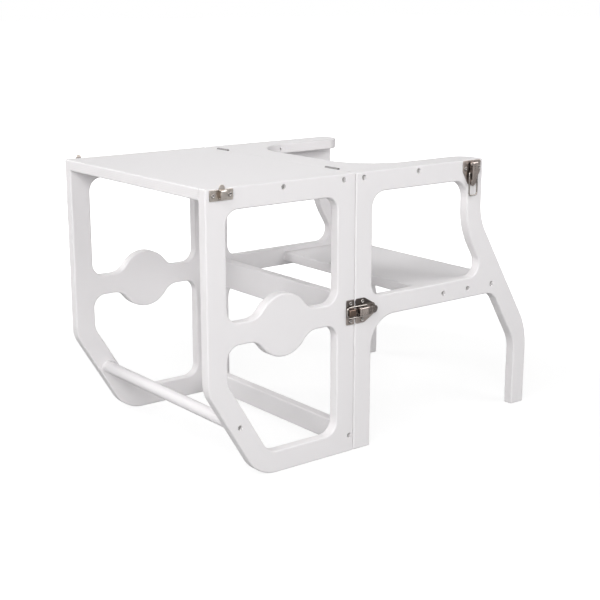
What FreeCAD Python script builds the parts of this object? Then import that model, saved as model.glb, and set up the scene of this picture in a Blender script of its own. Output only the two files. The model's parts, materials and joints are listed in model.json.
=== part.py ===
import FreeCAD, Part
import math
import os

from FreeCAD import Rotation, Vector

# Kitchen helper stool for toddlers, in its table-and-seat position. Two plywood halves meet at a
# joint: the upper frame (towards -X) is folded down beside the base (towards +X). Lengths are in
# millimetres. Every piece is drawn with x = 0 on the hinge axis, y = 0 midway between the side
# panels and z = 0 on the floor, and is moved to the middle of the footprint when it is written.
# Left is -Y and right is +Y.

# ---------------------------------------------------------------- driving dimensions: plywood
height = 450.0              # table top and platform above the floor
width = 416.0               # across the outer faces of the side panels
board = 18.0                # thickness of the plywood
edge_round = 2.5            # roundover of the plywood edges
frame_length = 277.0        # hinge axis to the far edge of the upper frame
platform_length = 277.0     # hinge axis to the end of the base's top
foot_reach = 402.5          # hinge axis to the back of the rear feet
half_gap = 0.4              # half of the gap between the two halves
post_width = 35.0           # upright members of the side panels
top_rail = 34.0             # upper members of the side panels
rail_width = 34.0           # middle bar of the frame and seat rail of the base
rail_drop = 218.0           # table top down to the centre line of the middle bar and the seat rail
slant_angle = 31.0          # slanted edges, from the vertical

frame_slant_drop = 84.0     # middle bar down to where the frame's slanted edge starts
frame_slant_band = 35.0     # width of the frame's slanted member
frame_bottom_rail = 35.0
frame_shoulder_round = 50.0  # between the upright and the slanted edge
frame_heel_round = 60.0     # between the slanted edge and the floor
window_round = 22.0         # window corners of the frame
window_heel_round = 32.0    # lower window, at the foot of the slanted member
disc_radius = 49.0          # disc in the middle bar
disc_blend = 30.0           # hollow curves between the disc and the bar

base_slant_drop = 102.0     # table top down to where the base's back edge starts to slant
base_slant_band = 37.0      # width of the slanted member
foot_width = 30.5           # rear foot
back_post_width = 34.0      # upright above the slanted member
base_back_round = 86.0      # back edge, upright to slant
base_ankle_round = 120.0    # back edge, slant to rear foot
base_window_round = 25.0
base_window_back_round = 30.0
base_window_nook_round = 22.5   # tight corner where the slanted member meets the seat rail
base_window_front_round = 20.0
base_inner_straight = 17.2      # straight that the round between them leaves of the shorter edge
arch_front_round = 49.0     # leg arch under the seat rail
arch_back_round = 30.0
arch_ankle_round = 60.0

cut_throat = 58.0           # hinge axis to the bottom of the belly cut-out
cut_strip = 32.0            # width of the strips between the cut-out and the panels
cut_round = 90.0            # inner corners of the cut-out
cut_mouth_round = 30.0      # rounded ends of the two side strips

seat_front = 164.0
seat_depth = 174.0
seat_rise = 8.5             # seat rail's centre line to the top of the seat board

base_cross_front = 8.0      # hinge axis to the front face of the base crossboard
base_cross_below = 33.0     # seat rail's centre line down to the crossboard's lower edge
base_cross_above = 16.0
frame_cross_low = 10.0
frame_cross_high = 45.0
dowel_radius = 10.0
dowel_drop = 61.0           # start of the frame's slanted edge down to the dowel's axis
dowel_inset = 18.8          # slanted edge to the dowel's axis, level

# ---------------------------------------------------------------- driving dimensions: hardware
hinge_from_face = 58.0      # middle of a hinge to the outer face of its panel
hinge_length = 32.0
knuckle_count = 5
knuckle_gap = 0.3
knuckle_radius = 2.2
leaf_thickness = 1.5
leaf_drop = 16.0            # hinge axis to the lower edge of a leaf
leaf_gap = 0.25             # half of the gap between the closed leaves
pin_radius = 1.0
pin_head = 0.6              # length of the pin beyond the knuckles at each end
notch_clearance = 0.5       # around the knuckles, in the boards and the other leaf
running_clearance = 0.3     # between the faces of pieces that move past each other
pin_clearance = 0.08        # around pins, rivets and wire ends, in the bores they turn in
overshoot = 1.0             # how far cutting shapes stand out of what they cut

plate_thickness = 1.5       # sheet of the latch plates and strike plates
plate_half = 20.0           # half of a plate's width
plate_shoulder = 18.0       # head edge to where the latch plate narrows
plate_length = 40.0
plate_tail_half = 7.5
plate_round = 3.0
plate_bend_round = 6.0      # where the edge turns in towards the tail
latch_head_offset = 1.0     # hinge axis (or platform top) to the head edge of a latch plate
latch_drop = 1.0            # seat rail's centre line down to that of the joint latches
tower_latch_x = 250.0       # centre line of the tower latches from the hinge axis
pivot_from_head = 6.0       # lever rivet, from the head edge
pivot_rise = 6.6            # lever rivet, above the panel face
rivet_radius = 1.2
rivet_head_radius = 2.4
rivet_head_height = 0.55
ear_inside = 3.6            # middle of the latch to the inner side of an ear
ear_thickness = 1.2
ear_radius = 2.4
lever_half = 6.5            # half of the lever's width
lever_sheet = 1.3
lever_back = 4.1            # rivet to the outer side of the lever's back
lever_head = 3.4            # rivet to the lever's head end
lever_head_round = 1.2
lever_flange = 3.4          # rivet to the lower edge of a flange
lever_flat = 18.0           # rivet to where the lever's back starts to fall
lever_fall_round = 20.0
lever_tip = 42.5            # head edge to the tip of the lever
lever_tip_rise = 5.2        # outer side of the tip above the panel face
lever_tip_depth = 2.0
lever_tip_round = 5.0
loop_from_head = 19.8       # loop pivot, from the head edge
loop_rise = 5.2             # loop pivot, above the panel face
wire_radius = 1.25
loop_half = 8.8             # middle of the latch to the centre of a loop leg
loop_corner = 4.0
loop_shoulder = 1.8         # bend between a leg and the end that turns in the lever
strike_from_head = 3.0      # head edge of the latch plate to the near edge of the strike plate
strike_length = 16.0
strike_round = 1.5
hook_front = 0.4            # near edge of the strike plate to the hook, a raised bridge
hook_length = 13.2
hook_half = 5.0
hook_height = 8.0
hook_sheet = 1.4
hook_round = 1.6
hook_inner_round = 0.4
wire_in_hook = 3.4          # centre of the hooked wire above the panel face
wire_play = 0.4             # hooked wire to the foot of the hook
tab_half = 4.8              # guide tab of the strike plate, beyond its near edge
tab_reach = 7.0
tab_thickness = 1.4
tab_round = 0.8
tab_tip_round = 4.7

screw_shank = 2.2           # panel screws
screw_length = 45.0
screw_head = 3.8
screw_head_height = 3.4
screw_bore = 4.2            # recess in the panel's outer face
screw_bore_depth = 8.0
hole_clearance = 0.2        # around every shank
small_shank = 1.5           # screws of the latches, strikes and hinges
small_length = 12.0
small_head = 3.3
small_head_height = 1.7
small_crown = 0.85          # sloping part of the head
flat_head = 2.8             # countersunk heads of the hinge screws
flat_head_height = 1.3
plate_screw_from_head = 13.0
plate_screw_side = 15.0
strike_screw_side = 14.5
hinge_screw_side = 10.0
hinge_screw_drop = 10.0
seat_screw_pitch = 57.5
table_screws = (24.0, 139.0)      # from the hinge axis, in the frame's top edge
platform_screws = (16.0, 131.0)   # from the hinge axis, in the base's top edge

# ---------------------------------------------------------------- sizes that follow
face = width / 2
inner = face - board
rail_height = height - rail_drop
rail_top = rail_height + rail_width / 2
rail_bottom = rail_height - rail_width / 2
slant = math.tan(math.radians(slant_angle))
slant_width = 1 / math.cos(math.radians(slant_angle))
frame_slant_top = rail_height - frame_slant_drop
base_slant_top = height - base_slant_drop
middle_x = (foot_reach - frame_length) / 2
board_middle = height - board / 2
seat_height = rail_height + seat_rise
seat_middle = seat_height - board / 2
base_cross_low = rail_height - base_cross_below
base_cross_high = rail_height + base_cross_above
dowel_height = frame_slant_top - dowel_drop
dowel_x = -frame_length + dowel_drop * slant + dowel_inset
latch_height = rail_height - latch_drop
frame_cross_front = half_gap + board
hinge_y = face - hinge_from_face
leaf_inner = leaf_gap
leaf_outer = leaf_gap + leaf_thickness
ear_outside = ear_inside + ear_thickness
lever_rise = pivot_rise + lever_back
hook_back = strike_from_head + hook_front + hook_length
wire_catch = hook_back + wire_radius + wire_play
loop_length = math.hypot(loop_from_head + wire_catch, loop_rise - wire_in_hook)
hooked_angle = math.degrees(math.asin((loop_rise - wire_in_hook) / loop_length))
TOUCH = 1e-6                                # lengths below this count as none
OUTWARD = Rotation(Vector(1, 0, 0), 90)     # local z (out of a panel) to -Y
DOWNWARD = Rotation(Vector(0, 1, 0), 90)    # local x (towards the tail) to -Z


# ---------------------------------------------------------------- shared shapes
def block(x0, x1, y0, y1, z0, z1):
    """A box between two corners."""
    return Part.makeBox(x1 - x0, y1 - y0, z1 - z0, Vector(x0, y0, z0))


def rod(radius, start, end):
    """A round bar between two points."""
    return Part.makeCylinder(radius, (end - start).Length, start, end - start)


def corner_arc(before, corner, after, radius):
    """Start, middle and end of the arc that rounds a corner between two straight runs."""
    back = (before - corner).normalize()
    ahead = (after - corner).normalize()
    half = back.getAngle(ahead) / 2
    run = radius / math.tan(half)
    middle = (back + ahead).normalize() * (radius / math.sin(half) - radius)
    return corner + back * run, corner + middle, corner + ahead * run


def outline(corners, inset=()):
    """Closed outline in the XZ plane through (x, z, radius) corners, straight runs and tangent arcs.

    inset holds edges that replace the middle of the run that leaves the first corner.
    """
    points = [Vector(x, 0, z) for x, z, _ in corners]
    count = len(points)
    arcs = []
    for i in range(count):
        radius = corners[i][2]
        arc = (points[i],) * 3
        if radius:
            arc = corner_arc(points[i - 1], points[i], points[(i + 1) % count], radius)
        arcs.append(arc)
    edges = []
    for i in range(count):
        start, middle, end = arcs[i]
        if corners[i][2]:
            edges.append(Part.Arc(start, middle, end).toShape())
        if i == 0 and inset:
            edges.append(Part.LineSegment(end, inset[0].firstVertex(True).Point).toShape())
            edges.extend(inset)
            end = inset[-1].lastVertex(True).Point
        following = arcs[(i + 1) % count][0]
        if (following - end).Length > TOUCH:
            edges.append(Part.LineSegment(end, following).toShape())
    return Part.Face(Part.Wire(edges))


def bar_disc(x, side):
    """Arcs that lead from the bar round the disc and back, over (side 1) or under (side -1) it.

    The hollow blend of radius q touches the bar's edge and the disc, so its centre stands q from
    the bar and radius + q from the disc's centre: d^2 = (radius + q)^2 - (bar / 2 + q)^2.
    """
    reach = disc_radius + disc_blend
    rise = rail_width / 2 + disc_blend
    spread = math.sqrt(reach ** 2 - rise ** 2)
    centre = Vector(x, 0, rail_height)
    share = disc_radius / reach
    arcs = []
    for way in (-1, 1):
        hub = centre + Vector(way * spread, 0, side * rise)
        bar = hub - Vector(0, 0, side * disc_blend)
        rim = centre + (hub - centre) * share
        between = hub + ((bar - hub) + (rim - hub)).normalize() * disc_blend
        arcs.append((bar, between, rim))
    (bar_a, mid_a, rim_a), (bar_b, mid_b, rim_b) = arcs
    crown = centre + Vector(0, 0, side * disc_radius)
    edges = [Part.Arc(bar_a, mid_a, rim_a), Part.Arc(rim_a, crown, rim_b), Part.Arc(rim_b, mid_b, bar_b)]
    if side < 0:
        edges = [Part.Arc(bar_b, mid_b, rim_b), Part.Arc(rim_b, crown, rim_a), Part.Arc(rim_a, mid_a, bar_a)]
    return [edge.toShape() for edge in edges]


def sheet(face_xz):
    """Plywood of the left side: the outline stands on the outer face and grows inwards."""
    return face_xz.translated(Vector(0, -face, 0)).extrude(Vector(0, board, 0))


def rounded(solid):
    """Round the edges that lie in the two faces of a left-side panel."""
    edges = [edge for edge in solid.Edges if edge.BoundBox.YLength < TOUCH]
    return solid.makeFillet(edge_round, edges)


def top_seat(x0, x1):
    """Square strip along a panel's inner top edge, where the board lies flush against it."""
    return block(x0, x1, -inner - edge_round, -inner, height - edge_round, height)


def mirrored(shape):
    """The same piece on the other side."""
    return shape.mirror(Vector(0, 0, 0), Vector(0, 1, 0))


def both_sides(shape):
    """A left-side shape together with its mirror image."""
    return [shape, mirrored(shape)]


# ---------------------------------------------------------------- screws
def panel_screw(x, z):
    """Screw through the left panel into a board's end, its head sunk in the panel."""
    seat = -face + screw_bore_depth
    head = rod(screw_head, Vector(x, seat - screw_head_height, z), Vector(x, seat, z))
    shank = rod(screw_shank, Vector(x, seat, z), Vector(x, seat + screw_length, z))
    return head.fuse(shank)


def panel_screw_hole(x, z):
    """Recess and bore for a panel screw."""
    seat = -face + screw_bore_depth
    recess = rod(screw_bore, Vector(x, -face - overshoot, z), Vector(x, seat, z))
    end = seat + screw_length + hole_clearance
    bore = rod(screw_shank + hole_clearance, Vector(x, seat - overshoot, z), Vector(x, end, z))
    return recess.fuse(bore)


def small_screw():
    """Round-headed screw: the head stands on z = 0 and the shank goes down."""
    brim = small_head_height - small_crown
    head = Part.makeCylinder(small_head, brim)
    crown = Part.makeCone(small_head, small_head - small_crown, small_crown, Vector(0, 0, brim))
    shank = Part.makeCylinder(small_shank, small_length, Vector(0, 0, -small_length))
    return head.fuse([crown, shank])


def flat_screw():
    """Countersunk screw: the head's flat face is at z = 0 and the shank goes down."""
    head = Part.makeCone(small_shank, flat_head, flat_head_height, Vector(0, 0, -flat_head_height))
    shank = Part.makeCylinder(small_shank, small_length, Vector(0, 0, -small_length))
    return head.fuse(shank)


def shank_hole():
    """Bore for a small screw, down from z = 0."""
    depth = small_length + hole_clearance
    return Part.makeCylinder(small_shank + hole_clearance, depth + overshoot, Vector(0, 0, -depth))


frame_screw_places = [(-x, board_middle) for x in table_screws]
frame_screw_places.append((dowel_x, dowel_height))
frame_cross_x = -half_gap - board / 2
frame_screw_places.append((frame_cross_x, (frame_cross_low + frame_cross_high) / 2))
base_screw_places = [(x, board_middle) for x in platform_screws]
seat_centre = seat_front + seat_depth / 2
base_screw_places += [(seat_centre + n * seat_screw_pitch, seat_middle) for n in (-1, 0, 1)]
base_cross_x = base_cross_front + board / 2
base_screw_places.append((base_cross_x, (base_cross_low + base_cross_high) / 2))


def drilled(solid, places):
    """A piece with the bores of the panel screws of both sides taken out."""
    cutters = []
    for x, z in places:
        cutters += both_sides(panel_screw_hole(x, z))
    return solid.cut(cutters)


# ---------------------------------------------------------------- toggle latches, local frame
# x runs from the head edge of the latch plate to its tail, y across, z out of the panel face. The
# strike plate lies at negative x. Both latches and both strikes share this frame.
def plan(corners):
    """Closed outline on z = 0 through (x, y, radius) corners."""
    return outline(corners).rotated(Vector(0, 0, 0), Vector(1, 0, 0), -90)


def latch_plate():
    """Sheet plate with two wings for screws, a narrowing tail and two ears for the rivet."""
    wing = [
        (0, plate_half, plate_round), (plate_shoulder, plate_half, plate_bend_round),
        (plate_length, plate_tail_half, plate_round), (plate_length, -plate_tail_half, plate_round),
        (plate_shoulder, -plate_half, plate_bend_round), (0, -plate_half, plate_round),
    ]
    plate = plan(wing).extrude(Vector(0, 0, plate_thickness))
    near = pivot_from_head - ear_radius
    far = pivot_from_head + ear_radius
    top = pivot_rise + ear_radius
    ear = outline([(near, 0, 0), (near, top, ear_radius), (far, top, ear_radius), (far, 0, 0)])
    for side in (ear_inside, -ear_outside):
        plate = plate.fuse(ear.translated(Vector(0, side, 0)).extrude(Vector(0, ear_thickness, 0)))
    bores = [rod(rivet_radius, Vector(pivot_from_head, -plate_half, pivot_rise),
                 Vector(pivot_from_head, plate_half, pivot_rise))]
    for side in (-1, 1):
        bores.append(shank_hole().translated(latch_screw_place(side)))
    return plate.cut(bores).removeSplitter()


def lever_rivet():
    """Rivet through the ears and the lever's two flanges."""
    shank_end = lever_half + running_clearance / 2
    tip = shank_end + rivet_head_height
    centre = Vector(pivot_from_head, 0, pivot_rise)
    rivet = rod(rivet_radius, centre - Vector(0, tip, 0), centre + Vector(0, tip, 0))
    for side in (-1, 1):
        start = centre + Vector(0, side * shank_end, 0)
        rivet = rivet.fuse(rod(rivet_head_radius, start, start + Vector(0, side * rivet_head_height, 0)))
    return rivet


def latch_lever():
    """Channel bent from sheet: two flanges on the rivet, a back that falls and a duck-bill tip."""
    head = pivot_from_head - lever_head
    low = pivot_rise - lever_flange
    fall = pivot_from_head + lever_flat
    whole = outline([
        (head, lever_rise, lever_head_round), (fall, lever_rise, lever_fall_round),
        (lever_tip, lever_tip_rise, 0), (lever_tip, lever_tip_rise - lever_tip_depth, 0),
        (head, low, lever_head_round),
    ]).translated(Vector(0, -lever_half, 0)).extrude(Vector(0, 2 * lever_half, 0))
    top_view = plan([
        (head, lever_half, 0), (lever_tip, lever_half, lever_tip_round),
        (lever_tip, -lever_half, lever_tip_round), (head, -lever_half, 0),
    ]).extrude(Vector(0, 0, lever_rise + overshoot))
    hollow_half = lever_half - lever_sheet
    steep = (lever_rise - lever_tip_rise) / (lever_tip - fall)
    end = lever_tip - lever_tip_round - lever_sheet
    under = lever_tip_rise + steep * (lever_tip - end) - lever_sheet
    hollow = outline([
        (head - overshoot, low - lever_flange, 0), (head - overshoot, lever_rise - lever_sheet, 0),
        (fall, lever_rise - lever_sheet, lever_fall_round), (end, under, 0), (end, low - lever_flange, 0),
    ]).translated(Vector(0, -hollow_half, 0)).extrude(Vector(0, 2 * hollow_half, 0))
    reach = Vector(0, lever_half + overshoot, 0)
    rivet_centre = Vector(pivot_from_head, 0, pivot_rise)
    wire_centre = Vector(loop_from_head, 0, loop_rise)
    bores = []
    for centre, radius in ((rivet_centre, rivet_radius), (wire_centre, wire_radius)):
        bores.append(rod(radius + pin_clearance, centre - reach, centre + reach))
    return whole.common(top_view).cut([hollow] + bores)


def latch_loop(angle):
    """Wire loop on the lever: two inturned ends, two legs and the bight that goes over the hook.

    angle turns it about its pivot: 0 points to the tail, 180 to the strike plate.
    """
    foot = lever_half - lever_sheet + running_clearance
    corners = [
        (Vector(0, foot, 0), 0), (Vector(0, loop_half, 0), loop_shoulder),
        (Vector(loop_length, loop_half, 0), loop_corner), (Vector(loop_length, -loop_half, 0), loop_corner),
        (Vector(0, -loop_half, 0), loop_shoulder), (Vector(0, -foot, 0), 0),
    ]
    edges = []
    last = corners[0][0]
    for i in range(1, len(corners) - 1):
        start, middle, end = corner_arc(corners[i - 1][0], corners[i][0], corners[i + 1][0], corners[i][1])
        edges.append(Part.LineSegment(last, start).toShape())
        edges.append(Part.Arc(start, middle, end).toShape())
        last = end
    edges.append(Part.LineSegment(last, corners[-1][0]).toShape())
    section = Part.Wire(Part.makeCircle(wire_radius, corners[0][0], Vector(0, 1, 0)))
    loop = Part.Wire(edges).makePipeShell([section], True, False)
    pivot = Vector(loop_from_head, 0, loop_rise)
    return loop.rotated(Vector(0, 0, 0), Vector(0, 1, 0), -angle).translated(pivot)


def strike_plate():
    """Plate with a raised bridge, behind which the wire hooks, and a guide tab towards the latch."""
    near = -strike_from_head
    far = near - strike_length
    plate = plan([
        (near, plate_half, strike_round), (near, -plate_half, strike_round),
        (far, -plate_half, strike_round), (far, plate_half, strike_round),
    ]).extrude(Vector(0, 0, plate_thickness))
    front = near - hook_front
    back = front - hook_length
    bridge = outline([
        (front, 0, 0), (front, hook_height, hook_round), (back, hook_height, hook_round), (back, 0, 0),
    ])
    tunnel_roof = hook_height - hook_sheet
    tunnel = outline([
        (front - hook_sheet, plate_thickness, 0), (front - hook_sheet, tunnel_roof, hook_inner_round),
        (back + hook_sheet, tunnel_roof, hook_inner_round), (back + hook_sheet, plate_thickness, 0),
    ])
    hook = bridge.cut(tunnel).translated(Vector(0, -hook_half, 0)).extrude(Vector(0, 2 * hook_half, 0))
    low = plate_thickness + running_clearance
    tab = outline([
        (near - 2 * tab_thickness, 0, 0), (near - 2 * tab_thickness, plate_thickness, 0),
        (near - tab_thickness, low + tab_thickness, tab_round), (near + tab_reach, low + tab_thickness, 0),
        (near + tab_reach, low, 0), (near, low, 0), (near, 0, 0),
    ]).translated(Vector(0, -tab_half, 0)).extrude(Vector(0, 2 * tab_half, 0))
    tab_view = plan([
        (near - strike_length / 2, tab_half, 0), (near + tab_reach, tab_half, tab_tip_round),
        (near + tab_reach, -tab_half, tab_tip_round), (near - strike_length / 2, -tab_half, 0),
    ]).extrude(Vector(0, 0, hook_height))
    bores = []
    for side in (-1, 1):
        bores.append(shank_hole().translated(strike_screw_place(side)))
    return plate.fuse([hook, tab.common(tab_view)]).cut(bores).removeSplitter()


def strike_screw_place(side):
    """Where a strike plate's screw head stands."""
    return Vector(-strike_from_head - strike_length / 2, side * strike_screw_side, plate_thickness)


def latch_screw_place(side):
    """Where a latch plate's screw head stands."""
    return Vector(plate_screw_from_head, side * plate_screw_side, plate_thickness)


def latch_screws():
    """The two screws of a latch plate."""
    return [small_screw().translated(latch_screw_place(side)) for side in (-1, 1)]


def strike_screws():
    """The two screws of a strike plate."""
    return [small_screw().translated(strike_screw_place(side)) for side in (-1, 1)]


def at_joint(shape):
    """Stand a latch piece at the joint on the left panel, its tail towards +X."""
    place = FreeCAD.Placement(Vector(latch_head_offset, -face, latch_height), OUTWARD)
    return shape.transformed(place.toMatrix())


def at_tower(shape):
    """Stand a latch piece at the top back corner of the base's left panel, its tail down."""
    place = FreeCAD.Placement(Vector(tower_latch_x, -face, height - latch_head_offset), DOWNWARD * OUTWARD)
    return shape.transformed(place.toMatrix())


def folded(shape):
    """A piece of the upper frame, from where it is on top of the base to where it hangs beside it."""
    return shape.rotated(Vector(0, 0, height), Vector(0, 1, 0), 180)


# ---------------------------------------------------------------- hinges
def knuckle_spans(first):
    """Y spans of every second knuckle of the left hinge, from the first or the second."""
    pitch = hinge_length / knuckle_count
    low = -hinge_y - hinge_length / 2
    spans = []
    for n in range(first, knuckle_count, 2):
        spans.append((low + n * pitch + knuckle_gap / 2, low + (n + 1) * pitch - knuckle_gap / 2))
    return spans


def hinge_leaf(side, first, bore):
    """Leaf on one side of the joint (side 1 is the base): a plate and its share of the knuckles."""
    low = -hinge_y - hinge_length / 2
    x0, x1 = sorted((side * leaf_inner, side * leaf_outer))
    clear = knuckle_radius + notch_clearance
    leaf = block(x0, x1, low, low + hinge_length, height - leaf_drop, height - clear)
    for y0, y1 in knuckle_spans(first):
        web = block(x0, x1, y0, y1, height - clear - overshoot, height - pin_radius)
        leaf = leaf.fuse([web, rod(knuckle_radius, Vector(0, y0, height), Vector(0, y1, height))])
    end = low + hinge_length + overshoot
    pin_bore = rod(bore, Vector(0, low - overshoot, height), Vector(0, end, height))
    return leaf.cut([pin_bore] + hinge_screws(side)).removeSplitter()


def hinge_screws(side):
    """The two countersunk screws of a left leaf, driven from the joint into the board's end."""
    turn = Rotation(Vector(0, 1, 0), -90 * side)
    screws = []
    for across in (-1, 1):
        spot = Vector(side * leaf_inner, -hinge_y + across * hinge_screw_side, height - hinge_screw_drop)
        screws.append(flat_screw().transformed(FreeCAD.Placement(spot, turn).toMatrix()))
    return screws


def hinge_pin():
    """Pin of the left hinge."""
    reach = Vector(0, hinge_length / 2 + pin_head, 0)
    centre = Vector(0, -hinge_y, height)
    return rod(pin_radius, centre - reach, centre + reach)


def hinge_pocket(side):
    """What a board's end loses to the left hinge: the leaf's recess, the knuckle notch, screw bores."""
    half = hinge_length / 2 + pin_head + running_clearance
    y0, y1 = -hinge_y - half, -hinge_y + half
    x0, x1 = sorted((0, side * leaf_outer))
    recess = block(x0, x1, y0, y1, height - leaf_drop, height + overshoot)
    notch = rod(knuckle_radius + notch_clearance, Vector(0, y0, height), Vector(0, y1, height))
    pocket = recess.fuse(notch)
    for across in (-1, 1):
        spot = Vector(side * leaf_outer, -hinge_y + across * hinge_screw_side, height - hinge_screw_drop)
        end = spot + Vector(side * small_length, 0, 0)
        pocket = pocket.fuse(rod(small_shank + hole_clearance, spot, end))
    return pocket


# ---------------------------------------------------------------- plywood pieces
def frame_side():
    """Left side panel of the upper frame: slanted corner, two windows, middle bar with a disc."""
    left = -frame_length
    right = -half_gap
    window_left = left + post_width
    window_right = right - post_width
    band = frame_slant_band * slant_width
    heel = left + frame_slant_top * slant
    body = outline([
        (right, 0, edge_round), (heel, 0, frame_heel_round), (left, frame_slant_top, frame_shoulder_round),
        (left, height, edge_round), (right, height, edge_round),
    ])
    disc_x = (window_left + window_right) / 2
    upper = outline([
        (window_left, rail_top, window_round), (window_right, rail_top, window_round),
        (window_right, height - top_rail, window_round), (window_left, height - top_rail, window_round),
    ], bar_disc(disc_x, 1))
    knee = frame_slant_top - (window_left - left - band) / slant
    sole = left + (frame_slant_top - frame_bottom_rail) * slant + band
    lower = outline([
        (window_right, rail_bottom, window_round), (window_left, rail_bottom, window_round),
        (window_left, knee, window_heel_round), (sole, frame_bottom_rail, window_heel_round),
        (window_right, frame_bottom_rail, window_round),
    ], bar_disc(disc_x, -1))
    panel = rounded(sheet(body).cut([sheet(upper), sheet(lower)]))
    return panel.fuse(top_seat(left + edge_round, right - edge_round)).removeSplitter()


def base_side():
    """Left side panel of the base: front leg, seat rail, slanted back member and rear foot."""
    front = half_gap
    leg = front + post_width
    back = platform_length
    band = base_slant_band * slant_width
    ankle = base_slant_top - (foot_reach - back) / slant
    foot_inner = foot_reach - foot_width

    def inner_slant_x(z):
        return back + (base_slant_top - z) * slant - band

    def inner_slant_z(x):
        return base_slant_top - (x - back + band) / slant

    body = outline([
        (front, 0, edge_round), (front, height, edge_round), (back, height, edge_round),
        (back, base_slant_top, base_back_round), (foot_reach, ankle, base_ankle_round),
        (foot_reach, 0, edge_round), (foot_inner, 0, edge_round),
        (foot_inner, inner_slant_z(foot_inner), arch_ankle_round),
        (inner_slant_x(rail_bottom), rail_bottom, arch_back_round),
        (leg, rail_bottom, arch_front_round), (leg, 0, edge_round),
    ])
    post = back - back_post_width
    nook_run = base_window_nook_round / math.tan(math.radians(90 - slant_angle) / 2)
    slanted_run = (inner_slant_z(post) - rail_top) * slant_width - nook_run
    upright_run = height - top_rail - inner_slant_z(post) - base_window_back_round
    back_run = min(slanted_run, upright_run) - base_inner_straight
    inner_back_round = back_run / math.tan(math.radians(slant_angle) / 2)
    window = outline([
        (leg, rail_top, base_window_front_round), (leg, height - top_rail, base_window_round),
        (post, height - top_rail, base_window_back_round), (post, inner_slant_z(post), inner_back_round),
        (inner_slant_x(rail_top), rail_top, base_window_nook_round),
    ])
    panel = rounded(sheet(body).cut(sheet(window)))
    return panel.fuse(top_seat(front + edge_round, back - edge_round)).removeSplitter()


def cross_piece(x0, x1, z0, z1, round_corners):
    """A board between the panels whose edges along Y are rounded where (x, z) is in round_corners."""
    solid = block(x0, x1, -inner, inner, z0, z1)
    edges = []
    for edge in solid.Edges:
        box = edge.BoundBox
        along = box.XLength < TOUCH and box.ZLength < TOUCH
        if along and (round(box.XMin, 3), round(box.ZMin, 3)) in round_corners:
            edges.append(edge)
    return solid.makeFillet(edge_round, edges)


def all_corners(x0, x1, z0, z1):
    """The four corners of a board's section."""
    return {(round(x, 3), round(z, 3)) for x in (x0, x1) for z in (z0, z1)}


def table_board():
    """Top of the upper frame."""
    span = (-frame_length, -half_gap, height - board, height)
    solid = cross_piece(*span, all_corners(*span) - {(-half_gap, height), (-half_gap, height - board)})
    return drilled(solid.cut(both_sides(hinge_pocket(-1))), frame_screw_places)


def platform_board():
    """Top of the base, with the belly cut-out open towards +X."""
    side = inner - cut_strip
    strip = platform_length
    corners = [
        (half_gap, -inner, 0), (strip, -inner, 0), (strip, -side, cut_mouth_round),
        (cut_throat, -side, cut_round), (cut_throat, side, cut_round),
        (strip, side, cut_mouth_round), (strip, inner, 0), (half_gap, inner, 0),
    ]
    solid = plan(corners).extrude(Vector(0, 0, board)).translated(Vector(0, 0, height - board))
    edges = []
    for edge in solid.Edges:
        box = edge.BoundBox
        beside_panel = box.YLength < TOUCH and abs(abs(box.YMin) - inner) < TOUCH
        at_joint_end = box.XMax < half_gap + TOUCH
        if box.ZLength < TOUCH and not beside_panel and not at_joint_end:
            edges.append(edge)
    solid = solid.makeFillet(edge_round, edges)
    return drilled(solid.cut(both_sides(hinge_pocket(1))), base_screw_places)


def seat_board():
    """Seat between the base's panels, held by three screws on each side."""
    span = (seat_front, seat_front + seat_depth, seat_height - board, seat_height)
    return drilled(cross_piece(*span, all_corners(*span)), base_screw_places)


def base_crossboard():
    """Board on edge behind the front legs."""
    span = (base_cross_front, base_cross_front + board, base_cross_low, base_cross_high)
    return drilled(cross_piece(*span, all_corners(*span)), base_screw_places)


def frame_crossboard():
    """Board on edge low at the frame's joint side."""
    span = (-frame_cross_front, -half_gap, frame_cross_low, frame_cross_high)
    return drilled(cross_piece(*span, all_corners(*span)), frame_screw_places)


def guard_dowel():
    """Round bar between the frame's panels."""
    dowel = rod(dowel_radius, Vector(dowel_x, -inner, dowel_height), Vector(dowel_x, inner, dowel_height))
    return drilled(dowel, frame_screw_places)


# ---------------------------------------------------------------- the whole object
latch_holes = [shank_hole().translated(latch_screw_place(side)) for side in (-1, 1)]
strike_holes = [shank_hole().translated(strike_screw_place(side)) for side in (-1, 1)]

base_left = base_side().cut([panel_screw_hole(x, z) for x, z in base_screw_places])
base_left = base_left.cut(
    [at_joint(hole) for hole in latch_holes] + [at_tower(hole) for hole in latch_holes])
frame_left = frame_side().cut([panel_screw_hole(x, z) for x, z in frame_screw_places])
frame_left = frame_left.cut(
    [at_joint(hole) for hole in strike_holes] + [folded(at_tower(hole)) for hole in strike_holes])

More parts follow.
